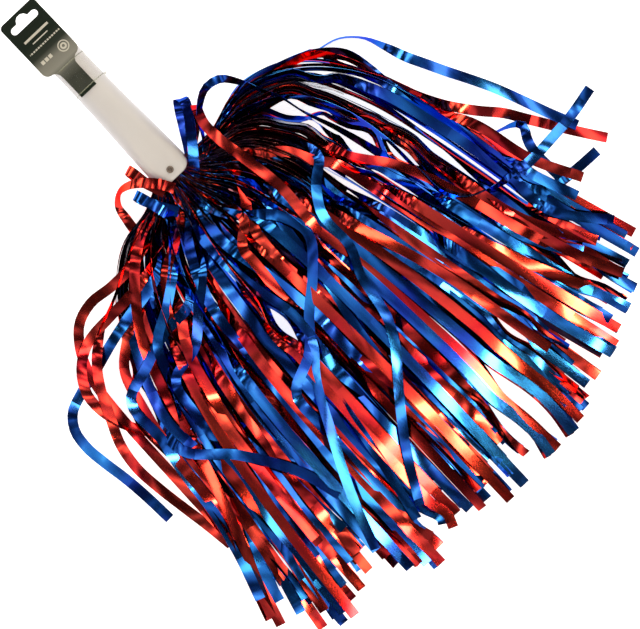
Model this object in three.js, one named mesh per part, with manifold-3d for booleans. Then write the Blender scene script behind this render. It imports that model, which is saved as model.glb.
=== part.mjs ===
import * as THREE from 'three';
import { mergeVertices } from 'three/addons/utils/BufferGeometryUtils.js';
import Module from 'manifold-3d';

const wasm = await Module();
wasm.setup();

// Cheer pom pom lying flat, in millimetres. X runs along the handle towards the streamers, Y across it, Z up.
// Everything is laid out from the middle of the handle's mouth, and the whole group is centred at the end.

// Handle: a round plastic tube whose mouth end is pressed to a flat-sided oval round the film.
const tubeDiameter = 22.2;
const tubeWall = 1.2;
const handleLength = 104;
const mouthThickness = 16.4;
const pressStart = 38;
const pressEnd = 12;
const mouthCorner = 8;
const pressSections = [32, 26, 20];
const tubeSides = 48;

// Rivet: one eyelet through both flats of the mouth and the film between them.
const rivetHeadDiameter = 4.4;
const rivetHeadThickness = 0.8;
const rivetShankDiameter = 2.6;
const rivetSetback = 6;
const rivetCrownShare = 0.8;
const rivetSides = 24;

// Film: strips cut from sheets, gathered in the mouth by their uncut edge.
const stripWidth = 6.35;
const stripThickness = 0.3;
const streamerLength = 280;
const filmRootLength = 30;

// Tufts: bodies of side-by-side stacks of strips that lift from the neck.
const tuftCount = 7;
const stacksPerTuft = 5;
const stackPitch = 7.0;
const tuftGap = 1.0;
const headingStep = 3;
const headingBias = 3;
const fanCentre = 8;
const neckRadius = 26;
const neckSpread = 0.0022;
const pileHeight = 43;
const pileEdgeHeight = 17;
const tipHeight = 3;
const tipStagger = 4;
const heightStagger = 0.05;

// Neck: the mass of film between the mouth and the tufts, higher in the middle and set back at its two sides.
const neckMargin = 1.5;
const neckBackSpread = 0.0028;
const neckBackCentre = 30;
const neckLowestY = -98;
const neckHighestY = 130;
const neckHeightShare = 0.8;
const neckSections = 24;
const neckSteps = 7;

// Curls: thin bunches of strips seen on edge at the two sides of the neck.
const curlWidth = 5;
const curlThickness = 12;
const curlHeight = 8;

// Hang tag: a printed card with a hang slot, and a tail that is taped to the handle.
const tagWidth = 28;
const tagLength = 34.5;
const tagThickness = 0.45;
const tagCorner = 3;
const tagOffset = -2.6;
const tagHingeGap = 0.6;
const tailWidth = 12.2;
const tailLength = 30;
const shoulderStart = 4.55;
const shoulderTurn = 1;
const shoulderEnd = 9.5;
const slotLength = 20.7;
const slotHeight = 4.8;
const slotHumpWidth = 9;
const slotHumpHeight = 3.2;
const slotHumpRound = 0.7;
const slotMargin = 5.2;

// Tape: a clear band round the handle and the tail.
const tapeThickness = 0.12;
const tapeWidth = 19;
const tapeSetback = 9;
const tapeSides = 40;

// Room left between pieces that touch.
const clearance = 0.3;

const tubeRadius = tubeDiameter / 2;
const tapeRadius = tubeRadius + clearance;
const axisHeight = tapeRadius + tapeThickness;
const pressedRadius = mouthThickness / 2;
const tagBottom = axisHeight + tubeRadius + clearance;

const finishes = {
  tube: { color: 0xe9e4df, roughness: 0.32, metalness: 0 },
  metal: { color: 0x8d8078, roughness: 0.35, metalness: 1 },
  blue: { color: 0x0a3fae, roughness: 0.15, metalness: 0.8 },
  red: { color: 0xb30d14, roughness: 0.15, metalness: 0.8 },
  dark: { color: 0x14131c, roughness: 0.2, metalness: 0.8 },
  tag: { color: 0x121c17, roughness: 0.25, metalness: 0 },
  tape: { color: 0xf3f1e4, roughness: 0.1, metalness: 0 },
};

const model = new THREE.Group();

function addPiece(name, finish, geometry) {
  const mesh = new THREE.Mesh(geometry, new THREE.MeshStandardMaterial(finishes[finish]));
  mesh.name = name;
  model.add(mesh);
}

function smoothstep(low, high, value) {
  const share = Math.min(1, Math.max(0, (value - low) / (high - low)));
  return share * share * (3 - 2 * share);
}

// Joins rings of points, all with the same count, into one closed solid with flat ends.
function loft(rings) {
  const count = rings[0].length;
  const positions = rings.flat().flatMap((point) => [point.x, point.y, point.z]);
  const faces = [];
  for (let ring = 0; ring + 1 < rings.length; ring += 1) {
    for (let side = 0; side < count; side += 1) {
      const next = (side + 1) % count;
      const a = ring * count + side;
      const b = ring * count + next;
      faces.push(a, b, a + count);
      faces.push(b, b + count, a + count);
    }
  }
  const last = (rings.length - 1) * count;
  for (let side = 1; side + 1 < count; side += 1) {
    faces.push(0, side + 1, side);
    faces.push(last, last + side, last + side + 1);
  }
  return indexedSolid(positions, faces);
}

function indexedSolid(positions, faces) {
  const geometry = new THREE.BufferGeometry();
  geometry.setAttribute('position', new THREE.Float32BufferAttribute(positions, 3));
  geometry.setIndex(faces);
  geometry.computeVertexNormals();
  return geometry;
}

// Boolean helpers.
function toManifold(geometry) {
  const bare = geometry.clone();
  bare.deleteAttribute('normal');
  bare.deleteAttribute('uv');
  const merged = mergeVertices(bare, 1e-4);
  const vertProperties = new Float32Array(merged.attributes.position.array);
  const triVerts = new Uint32Array(merged.index.array);
  return new wasm.Manifold(new wasm.Mesh({ numProp: 3, vertProperties, triVerts }));
}

function subtract(geometry, cutter) {
  const mesh = toManifold(geometry).subtract(toManifold(cutter)).getMesh();
  return indexedSolid(Array.from(mesh.vertProperties), Array.from(mesh.triVerts));
}

// The tube's section at a distance x from the mouth: a flat-sided oval, or a circle where it isn't pressed.
// The perimeter stays the same all along, because pressing doesn't stretch the tube.
function tubeSection(x, inset, count) {
  const pressed = smoothstep(-pressStart, -pressEnd, x);
  const radius = tubeRadius + (pressedRadius - tubeRadius) * pressed;
  const flat = (Math.PI * (tubeRadius - radius)) / 2;
  const wall = radius - inset;
  const quarter = flat + (Math.PI * wall) / 2;
  const points = [];
  for (let step = 0; step < count; step += 1) {
    const turn = (4 * step) / count;
    const side = Math.floor(turn);
    const along = (turn - side) * quarter;
    const run = side % 2 === 0 ? quarter - along : along;
    const across = run < flat ? run : flat + wall * Math.sin((run - flat) / wall);
    const up = run < flat ? wall : wall * Math.cos((run - flat) / wall);
    points.push([side === 1 || side === 2 ? -across : across, side >= 2 ? -up : up]);
  }
  return points;
}

function mouthHalfWidth() {
  return (Math.PI * (tubeRadius - pressedRadius)) / 2 + pressedRadius;
}

// The mouth's two corners are cut round, so the tube ends earlier towards its sides.
function mouthEnd(y) {
  const over = Math.abs(y) - (mouthHalfWidth() - mouthCorner);
  if (over <= 0) return 0;
  const share = Math.min(1, over / mouthCorner);
  return -mouthCorner * (1 - Math.sqrt(1 - share * share));
}

const pressStations = pressSections.map((setback) => -setback);
const tubeStations = [-handleLength, -pressStart, ...pressStations, -pressEnd, 0];

function tubeRing(x, inset) {
  return tubeSection(x, inset, tubeSides).map(([y, z]) => {
    const end = x === 0 ? mouthEnd(y) : x;
    return new THREE.Vector3(end, y, axisHeight + z);
  });
}

function verticalHole(diameter) {
  const hole = new THREE.CylinderGeometry(diameter / 2, diameter / 2, 2 * tubeDiameter, rivetSides);
  hole.rotateX(Math.PI / 2);
  hole.translate(-rivetSetback, 0, axisHeight);
  return hole;
}

function handleTube() {
  const outer = loft(tubeStations.map((x) => tubeRing(x, 0)));
  const inner = loft([-handleLength - 1, ...tubeStations.slice(1, -1), 1].map((x) => {
    return tubeSection(Math.min(x, 0), tubeWall, tubeSides).map(([y, z]) => {
      return new THREE.Vector3(x, y, axisHeight + z);
    });
  }));
  return subtract(subtract(outer, inner), verticalHole(rivetShankDiameter + 2 * clearance));
}

function filmRoot() {
  const inset = tubeWall + clearance;
  const stations = [-filmRootLength, ...pressStations.filter((x) => x > -filmRootLength), -pressEnd, 0];
  const solid = loft(stations.map((x) => tubeSection(x, inset, tubeSides).map(([y, z]) => {
    return new THREE.Vector3(x, y, axisHeight + z);
  })));
  return subtract(solid, verticalHole(rivetShankDiameter + 2 * clearance));
}

function rivet() {
  const head = rivetHeadDiameter / 2;
  const shank = rivetShankDiameter / 2;
  const seat = pressedRadius + clearance;
  const crown = seat + rivetHeadThickness;
  const profile = [[0, -crown], [head * rivetCrownShare, -crown], [head, -seat], [shank, -seat]];
  const mirrored = profile.map(([radius, height]) => [radius, -height]).reverse();
  const points = [...profile, ...mirrored].map(([radius, height]) => new THREE.Vector2(radius, height));
  const geometry = new THREE.LatheGeometry(points, rivetSides);
  geometry.rotateX(Math.PI / 2);
  geometry.translate(-rivetSetback, 0, axisHeight);
  return geometry;
}

// Where a body of the fan points, from the fan's own Y: outer ones splay further.
function headingAt(y) {
  const pitch = stacksPerTuft * stackPitch + tuftGap;
  return THREE.MathUtils.degToRad(headingBias + (headingStep * (y - fanCentre)) / pitch);
}

function innerRadiusAt(y) {
  return neckRadius + neckSpread * (y - fanCentre) ** 2;
}

function fanHalfWidth() {
  return (tuftCount * (stacksPerTuft * stackPitch + tuftGap)) / 2;
}

// How high the streamers pile up beside the neck, lower towards the fan's two sides.
function pileHeightAt(y) {
  const share = (y - fanCentre) / fanHalfWidth();
  return pileEdgeHeight + (pileHeight - pileEdgeHeight) * (1 - share * share);
}

// A stack of strips: rounded up at the neck, then thinning to the few strips at its tip.
const stackProfile = [[0, 0.55], [0.04, 0.86], [0.1, 1], [0.35, 0.78], [0.65, 0.47], [1, 0]];

function stackSolid(tuftY, lateral, order) {
  const heading = headingAt(tuftY);
  const along = new THREE.Vector3(Math.cos(heading), Math.sin(heading), 0);
  const across = new THREE.Vector3(-Math.sin(heading), Math.cos(heading), 0);
  const start = new THREE.Vector3(0, tuftY, 0).addScaledVector(across, lateral);
  const inner = innerRadiusAt(start.y);
  const stagger = tipStagger * ((order * 3) % 5);
  const reach = streamerLength - stagger;
  const back = start.dot(along);
  const outer = -back + Math.sqrt(back * back + reach * reach - start.lengthSq());
  const top = pileHeightAt(start.y) * (1 - heightStagger * ((order * 2) % 3)) - tipHeight;
  const rings = stackProfile.map(([share, rise]) => {
    const centre = start.clone().addScaledVector(along, inner + (outer - inner) * share);
    const left = centre.clone().addScaledVector(across, stripWidth / 2);
    const right = centre.clone().addScaledVector(across, -stripWidth / 2);
    const height = new THREE.Vector3(0, 0, tipHeight + top * rise);
    return [right, left, left.clone().add(height), right.clone().add(height)];
  });
  return loft(rings);
}

function addTufts() {
  const pitch = stacksPerTuft * stackPitch + tuftGap;
  let order = 0;
  for (let tuft = 1; tuft <= tuftCount; tuft += 1) {
    const tuftY = fanCentre + (tuft - (tuftCount + 1) / 2) * pitch;
    for (let stack = 1; stack <= stacksPerTuft; stack += 1) {
      const lateral = (stack - (stacksPerTuft + 1) / 2) * stackPitch;
      const colour = order % 2 === 0 ? 'blue' : 'red';
      addPiece(`tuft_${tuft}_${colour}_${stack}`, colour, stackSolid(tuftY, lateral, order));
      order += 1;
    }
  }
}

// The neck: the streamers where they burst out of the mouth and turn to their own places in the fan.
function neckSolid() {
  const rings = [];
  for (let section = 0; section <= neckSections; section += 1) {
    const y = neckLowestY + ((neckHighestY - neckLowestY) * section) / neckSections;
    const heading = headingAt(y);
    const foot = y - innerRadiusAt(y) * Math.sin(heading);
    const tilt = (stacksPerTuft * stackPitch * Math.abs(Math.sin(heading))) / 2;
    const front = innerRadiusAt(foot) * Math.cos(heading) - neckMargin - tilt;
    const back = clearance + neckBackSpread * (y - neckBackCentre) ** 2;
    const height = Math.min(pileHeightAt(y) - tipHeight, innerRadiusAt(y) - neckMargin) * neckHeightShare;
    const ring = [new THREE.Vector3(back, y, clearance), new THREE.Vector3(front, y, clearance)];
    for (let step = 1; step <= neckSteps; step += 1) {
      const angle = (Math.PI / 2) * (step / neckSteps);
      const x = back + (front - back) * Math.cos(angle);
      ring.push(new THREE.Vector3(x, y, clearance + height * Math.sin(angle)));
    }
    rings.push(ring.reverse());
  }
  return loft(rings);
}

// One strip as a thin flat solid along hand-placed points. Its width stays level and square to its run.
function stripSolid(points, steps, width = stripWidth, thickness = stripThickness) {
  const route = points.map(([x, y, z]) => new THREE.Vector3(x, y, z));
  const curve = new THREE.CatmullRomCurve3(route, false, 'centripetal');
  const up = new THREE.Vector3(0, 0, 1);
  const last = new THREE.Vector3(points.at(-1)[0] - points[0][0], points.at(-1)[1] - points[0][1], 0);
  let side = new THREE.Vector3().crossVectors(up, last).normalize();
  const rings = curve.getSpacedPoints(steps).map((centre, index) => {
    const run = curve.getTangentAt(index / steps);
    const level = new THREE.Vector3().crossVectors(up, run);
    if (level.length() > 0.3) {
      level.normalize();
      side = level.dot(side) < 0 ? level.negate() : level;
    }
    const lift = new THREE.Vector3().crossVectors(run, side).normalize().multiplyScalar(thickness / 2);
    const half = side.clone().multiplyScalar(width / 2);
    return [
      centre.clone().sub(half).sub(lift),
      centre.clone().add(half).sub(lift),
      centre.clone().add(half).add(lift),
      centre.clone().sub(half).add(lift),
    ];
  });
  return loft(rings);
}

// Loops: strips that turn back beside the mouth before they join the fan. They stay with the handle.
// Each point is [x from the mouth, distance out from the mouth's side, height]; the side is +1 or -1 along Y.
const loops = [
  ['neck_loop_blue_upper', 'blue', 1, [[-5, 4.2, 9], [-14, 9.2, 11], [-24, 15.2, 13], [-31, 20.2, 17],
    [-29, 21.2, 23], [-20, 16.2, 24], [-10, 10.2, 25]]],
  ['neck_loop_red_upper', 'red', 1, [[-3, 20.2, 13], [-10, 24.2, 15], [-17, 27.2, 18], [-21, 29.2, 23],
    [-17, 28.2, 28], [-9, 26.2, 31], [-1, 25.2, 33]]],
  ['neck_loop_red_lower', 'red', -1, [[-4, 5.2, 20], [-11, 7.2, 21], [-18, 11.2, 18], [-19, 18.2, 13],
    [-13, 24.2, 8], [-5, 27.2, 6]]],
  ['neck_loop_blue_lower', 'blue', -1, [[-3, 15.2, 20], [-7, 13.2, 24], [-5, 11.2, 29], [0, 9.2, 31]]],
];

// The curls arch out at the two sides of the neck, placed as loops are.
const curls = [
  ['side_curls_upper', 1, [[-6, 29.2], [-9.5, 42.2], [-10, 57.2], [-7, 72.2], [0, 87.2], [8, 99.2]]],
  ['side_curls_lower', -1, [[-3, 32.2], [2, 41.2], [9, 51.2], [18, 61.2]]],
];

// Strays: single strips that lie out beyond the tufts. Each lifts with the tuft it comes from.
// Each point is [x past the outermost stack's foot, distance out from the fan's side], all at one height.
const strays = [
  ['stray_blue_lower', 'blue', -1, 0.4, [[-20, -18], [-18, -6], [-12, 10], [-4, 23], [8, 32], [21, 35.5],
    [37, 33], [57, 29], [86, 28.5]]],
  ['stray_blue_upper', 'blue', 1, 0.4, [[-48, 7], [-35, 12], [-21, 17], [-7, 24], [9, 32.5], [27, 42],
    [47, 51], [67, 59], [83, 64]]],
  ['stray_red_upper', 'red', 1, 1.2, [[51, 38], [61, 46], [73, 54], [87, 63], [101, 71]]],
  ['stray_blue_crossing', 'blue', 1, 2, [[78.5, 38], [77, 51], [75, 66], [72.5, 85]]],
  ['stray_blue_short', 'blue', 1, 0.4, [[101, 44], [102, 52], [102.5, 61]]],
];

function addSingleStrips() {
  const mouthSide = mouthHalfWidth();
  for (const [name, colour, side, points] of loops) {
    const route = points.map(([x, out, height]) => [x, side * (mouthSide + out), height]);
    addPiece(name, colour, stripSolid(route, 24));
  }
  for (const [name, side, points] of curls) {
    const route = points.map(([x, out]) => [x, side * (mouthSide + out), curlHeight]);
    addPiece(name, 'dark', stripSolid(route, 16, curlWidth, curlThickness));
  }
  const fanSide = fanHalfWidth();
  const foot = innerRadiusAt(fanCentre + fanSide);
  for (const [name, colour, side, height, points] of strays) {
    const route = points.map(([x, out]) => [foot + x, fanCentre + side * (fanSide + out), height]);
    addPiece(name, colour, stripSolid(route, 24));
  }
}

// A flat card from its outline, lying level with its underside on the tag's seat.
function card(shape) {
  const settings = { depth: tagThickness, bevelEnabled: false, curveSegments: 8 };
  const geometry = new THREE.ExtrudeGeometry(shape, settings);
  geometry.translate(-handleLength, tagOffset, tagBottom);
  return geometry;
}

// The hang slot: a long rounded slot with a hump towards the tag's outer edge.
function hangSlot() {
  const inner = -tagLength + slotMargin + slotHeight;
  const middle = inner - slotHeight / 2;
  const radius = slotHeight / 2;
  const reach = slotLength / 2 - radius;
  const hump = slotHumpWidth / 2;
  const path = new THREE.Path();
  path.moveTo(inner, -reach);
  path.lineTo(inner, reach);
  path.absarc(middle, reach, radius, 0, Math.PI, false);
  path.lineTo(inner - slotHeight, hump);
  const outer = inner - slotHeight - slotHumpHeight;
  const round = hump * slotHumpRound;
  path.bezierCurveTo(outer, round, outer, -round, inner - slotHeight, -hump);
  path.lineTo(inner - slotHeight, -reach);
  path.absarc(middle, -reach, radius, Math.PI, 2 * Math.PI, false);
  return path;
}

function tagHeader() {
  const half = tagWidth / 2;
  const edge = -tagHingeGap / 2;
  const shape = new THREE.Shape();
  shape.moveTo(edge, -half);
  shape.lineTo(edge, half);
  shape.lineTo(-tagLength + tagCorner, half);
  shape.absarc(-tagLength + tagCorner, half - tagCorner, tagCorner, Math.PI / 2, Math.PI, false);
  shape.lineTo(-tagLength, -half + tagCorner);
  shape.absarc(-tagLength + tagCorner, -half + tagCorner, tagCorner, Math.PI, 1.5 * Math.PI, false);
  shape.holes.push(hangSlot());
  return card(shape);
}

// The tail: two round shoulders bring the card's full width down to a narrow strip along the handle.
function tagTail() {
  const half = tagWidth / 2;
  const strip = tailWidth / 2;
  const edge = tagHingeGap / 2;
  const first = shoulderStart;
  const middle = first + shoulderTurn;
  const second = middle + shoulderTurn;
  const shape = new THREE.Shape();
  shape.moveTo(edge, half);
  shape.lineTo(edge, -half);
  shape.quadraticCurveTo(first, -half, middle, -(half + strip) / 2);
  shape.quadraticCurveTo(second, -strip, shoulderEnd, -strip);
  shape.lineTo(tailLength, -strip);
  shape.lineTo(tailLength, strip);
  shape.lineTo(shoulderEnd, strip);
  shape.quadraticCurveTo(second, strip, middle, (half + strip) / 2);
  shape.quadraticCurveTo(first, half, edge, half);
  return card(shape);
}

// The tape's line round the handle: an arc under it, straight to the tail's two edges, flat over the tail.
function tapeLine(grow) {
  const radius = tapeRadius + grow;
  const top = tagBottom - axisHeight + tagThickness + clearance + grow;
  const left = [tagOffset - tailWidth / 2 - clearance - grow, top];
  const right = [tagOffset + tailWidth / 2 + clearance + grow, top];
  const tangent = ([y, z], turn) => Math.atan2(z, y) + turn * Math.acos(radius / Math.hypot(y, z));
  const from = tangent(left, 1);
  const to = tangent(right, -1) + 2 * Math.PI;
  const points = [left];
  for (let step = 0; step <= tapeSides; step += 1) {
    const angle = from + ((to - from) * step) / tapeSides;
    points.push([radius * Math.cos(angle), radius * Math.sin(angle)]);
  }
  points.push(right);
  return points.map(([y, z]) => new THREE.Vector2(y, z + axisHeight));
}

function tapeBand() {
  const shape = new THREE.Shape(tapeLine(tapeThickness));
  shape.holes.push(new THREE.Path(tapeLine(0)));
  const geometry = new THREE.ExtrudeGeometry(shape, { depth: tapeWidth, bevelEnabled: false });
  const alongHandle = new THREE.Matrix4().makeBasis(
    new THREE.Vector3(0, 1, 0),
    new THREE.Vector3(0, 0, 1),
    new THREE.Vector3(1, 0, 0),
  );
  geometry.applyMatrix4(alongHandle);
  geometry.translate(-handleLength + tapeSetback, 0, 0);
  return geometry;
}

addPiece('handle_tube', 'tube', handleTube());
addPiece('rivet', 'metal', rivet());
addPiece('film_root', 'dark', filmRoot());
addPiece('streamer_neck', 'dark', neckSolid());
addTufts();
addSingleStrips();
addPiece('hang_tag_header', 'tag', tagHeader());
addPiece('hang_tag_tail', 'tag', tagTail());
addPiece('tape_band', 'tape', tapeBand());

// The origin is under the middle of the whole object, on the surface it lies on.
const box = new THREE.Box3().setFromObject(model);
const middle = box.getCenter(new THREE.Vector3());
model.position.set(-middle.x, -middle.y, -box.min.z);

export default model;
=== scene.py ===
import math

import bmesh
import bpy
import numpy as np
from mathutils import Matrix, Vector
from mathutils.geometry import convex_hull_2d


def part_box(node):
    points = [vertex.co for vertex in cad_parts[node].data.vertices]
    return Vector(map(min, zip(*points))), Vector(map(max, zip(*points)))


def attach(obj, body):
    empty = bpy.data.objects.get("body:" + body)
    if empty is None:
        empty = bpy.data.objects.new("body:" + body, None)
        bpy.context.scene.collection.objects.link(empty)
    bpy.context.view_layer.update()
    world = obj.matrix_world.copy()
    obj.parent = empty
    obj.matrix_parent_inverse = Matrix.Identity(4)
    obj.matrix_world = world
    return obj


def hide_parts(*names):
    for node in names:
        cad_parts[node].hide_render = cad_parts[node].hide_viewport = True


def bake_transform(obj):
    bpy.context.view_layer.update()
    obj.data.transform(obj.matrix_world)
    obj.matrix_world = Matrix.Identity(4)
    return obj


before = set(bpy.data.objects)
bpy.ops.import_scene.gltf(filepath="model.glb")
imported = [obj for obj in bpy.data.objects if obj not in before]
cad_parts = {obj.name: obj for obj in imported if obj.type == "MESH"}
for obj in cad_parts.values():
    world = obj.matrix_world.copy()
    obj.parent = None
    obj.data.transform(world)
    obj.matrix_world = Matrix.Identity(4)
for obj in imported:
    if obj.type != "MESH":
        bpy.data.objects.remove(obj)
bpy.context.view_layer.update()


# Camera.
# It looks straight down on the pom pom, which lies on its side, and is turned so that the
# handle comes in from the upper left and the streamers spread to the lower right.
MM = 0.001
tube_low, tube_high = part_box("handle_tube")
mouth = np.array([tube_high.x, (tube_low.y + tube_high.y) / 2, 0.0])
axis_height = (tube_low.z + tube_high.z) / 2 / MM
camera_turn = math.radians(46.5)
camera_height = 3.0
middle_of_view = mouth + np.array([119.8, 5.4, 0.0]) * MM
width_of_view = 0.389
sensor_width = 36.0


def put(name, data):
    """A new object of this name, set in the scene."""
    made = bpy.data.objects.new(name, data)
    bpy.context.scene.collection.objects.link(made)
    return made


camera = put("camera", bpy.data.cameras.new("camera"))
camera.location = Vector(middle_of_view) + Vector((0, 0, camera_height))
camera.rotation_euler = (0, 0, camera_turn)
camera.data.sensor_width = sensor_width
camera.data.lens = sensor_width * camera_height / width_of_view
bpy.context.scene.camera = camera


# Streamer film.
# Strips of metallised polyester film, slit 6.35 mm wide and a tenth of a millimetre thick,
# red or blue on both faces, shiny, and creased from being packed.
strip_width = 6.35
film_thickness = 0.12
red_tint = (0.78, 0.060, 0.034)
red_deep = (0.54, 0.012, 0.022)
blue_tint = (0.022, 0.20, 0.62)
blue_deep = (0.016, 0.055, 0.46)
red_glancing = (1.0, 0.12, 0.10)
blue_glancing = (0.08, 0.36, 1.0)
deep_from = 0.36
deep_contrast = 3.4

# A strip's mesh has a station every 4 mm and a crease every 5 to 20 stations, and its middle is
# crowned a little. One seeded generator makes every draw, so each run lays the same pile.
station_gap = 4.0
creases_apart = (5, 20)
crown_height = 0.12
crown_waves = (3, 9)
curve_step = 0.04
luck = np.random.default_rng(11)


class Paint:
    """A socket in a material, which adds and multiplies as a number does."""

    def __init__(self, tree, socket=None):
        self.tree = tree
        self.socket = socket

    def node(self, kind, settings=None, sockets=None, output=0):
        """Add a node: its type, its settings, then the values or links of its sockets."""
        made = self.tree.nodes.new(kind)
        for name, value in (settings or {}).items():
            if name == "stops":
                ramp = made.color_ramp.elements
                while len(ramp) < len(value):
                    ramp.new(1.0)
                for stop, (place, colour) in zip(ramp, value):
                    stop.position = place
                    stop.color = (*colour, 1.0)
            else:
                setattr(made, name, value)
        for name, value in (sockets or {}).items():
            target = made.inputs[name]
            if isinstance(value, Paint):
                self.tree.links.new(value.socket, target)
            elif target.type == "RGBA" and len(value) == 3:
                target.default_value = (*value, 1.0)
            else:
                target.default_value = value
        return Paint(self.tree, made.outputs[output] if made.outputs else None)

    def maths(self, operation, first, second=0.0):
        return self.node("ShaderNodeMath", {"operation": operation}, {0: first, 1: second})

    def __add__(self, other):
        return self.maths("ADD", self, other)

    __radd__ = __add__

    def __sub__(self, other):
        return self.maths("SUBTRACT", self, other)

    def __rsub__(self, other):
        return self.maths("SUBTRACT", other, self)

    def __mul__(self, other):
        return self.maths("MULTIPLY", self, other)

    __rmul__ = __mul__

    def __truediv__(self, other):
        return self.maths("DIVIDE", self, other)

    def __gt__(self, other):
        return self.maths("GREATER_THAN", self, other)

    def __lt__(self, other):
        return self.maths("LESS_THAN", self, other)

    def __abs__(self):
        return self.maths("ABSOLUTE", self)

    def along(self, axis):
        """How far a point lies from the mouth along one axis, in millimetres."""
        place = self.node("ShaderNodeTexCoord", output="Object")
        metres = self.node("ShaderNodeSeparateXYZ", {}, {"Vector": place}, axis)
        return (metres - float(mouth["XYZ".index(axis)])) * (1 / MM)

    def noise(self, scale, stretch=(1, 1, 1), detail=2.0):
        place = self.node("ShaderNodeTexCoord", output="Object")
        drawn_out = self.node("ShaderNodeMapping", {}, {"Vector": place, "Scale": stretch})
        return self.node("ShaderNodeTexNoise", {}, {"Vector": drawn_out, "Scale": scale, "Detail": detail})

    def colours(self, mask, first, second):
        return self.node("ShaderNodeMix", {"data_type": "RGBA"}, {0: mask, 6: first, 7: second}, 2)

    def bump(self, height, strength, distance):
        return self.node("ShaderNodeBump", {}, {"Height": height, "Strength": strength, "Distance": distance})


def finish_coat(name, look):
    """A material named name, whose Principled sockets come from look(paint)."""
    material = bpy.data.materials.new(name)
    material.use_nodes = True
    material.node_tree.nodes.clear()
    paint = Paint(material.node_tree)
    shader = paint.node("ShaderNodeBsdfPrincipled", {}, look(paint))
    paint.node("ShaderNodeOutputMaterial", {}, {"Surface": shader})
    return material


def film(name, tint, deep, glancing):
    """Metallised film: bright, with deeper patches and fine streaks along the strip."""
    def look(paint):
        cloud = paint.noise(28.0, detail=3.0)
        streaks = paint.noise(220.0, (0.12, 1.0, 1.0), 3.0)
        return {
            "Base Color": paint.colours((cloud - deep_from) * deep_contrast, tint, deep),
            "Metallic": 1.0,
            "Specular Tint": glancing,
            "Roughness": 0.05 + 0.10 * streaks,
            "Coat Weight": 0.12,
            "Coat Roughness": 0.05,
            "Normal": paint.bump(streaks, 0.05, 0.0004),
        }
    return finish_coat(name, look)


films = {
    "red": film("red_film", red_tint, red_deep, red_glancing),
    "blue": film("blue_film", blue_tint, blue_deep, blue_glancing),
}


def ease(value, start, end):
    """A smooth step from 0 at start to 1 at end."""
    t = np.clip((np.asarray(value, float) - start) / (end - start), 0, 1)
    return t * t * (3 - 2 * t)


def phase():
    """Where a wave starts, drawn by luck."""
    return luck.uniform(0, 6)


def smooth_line(points, step=station_gap):
    """A smooth curve through the points, with one point every step millimetres."""
    knots = np.array(points, float)
    knots = np.vstack([2 * knots[0] - knots[1], knots, 2 * knots[-1] - knots[-2]])
    gaps = np.linalg.norm(np.diff(knots, axis=0), axis=1) + 1e-6
    line = []
    for i in range(1, len(knots) - 2):
        before, here, after = gaps[i - 1], gaps[i], gaps[i + 1]
        rise = (knots[i + 1] - knots[i]) / here
        out = ((knots[i] - knots[i - 1]) / before * here + rise * before) / (before + here)
        into = ((knots[i + 2] - knots[i + 1]) / after * here + rise * after) / (after + here)
        for t in np.arange(0, 1, curve_step):
            start = (1 + 2 * t) * (1 - t) ** 2 * knots[i] + t * t * (3 - 2 * t) * knots[i + 1]
            turn = t * (1 - t) ** 2 * out * here + t * t * (t - 1) * into * here
            line.append(start + turn)
    line.append(knots[-2])
    return evenly(np.array(line), step)


def evenly(line, step):
    """The same line, with its points a step apart."""
    run = np.concatenate([[0], np.cumsum(np.linalg.norm(np.diff(line, axis=0), axis=1))])
    stations = np.linspace(0, run[-1], max(3, round(run[-1] / step) + 1))
    return np.column_stack([np.interp(stations, run, line[:, i]) for i in range(line.shape[1])])


def unit(vectors):
    """The same directions, each one long."""
    return vectors / np.maximum(np.linalg.norm(vectors, axis=-1, keepdims=True), 1e-9)


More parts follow.
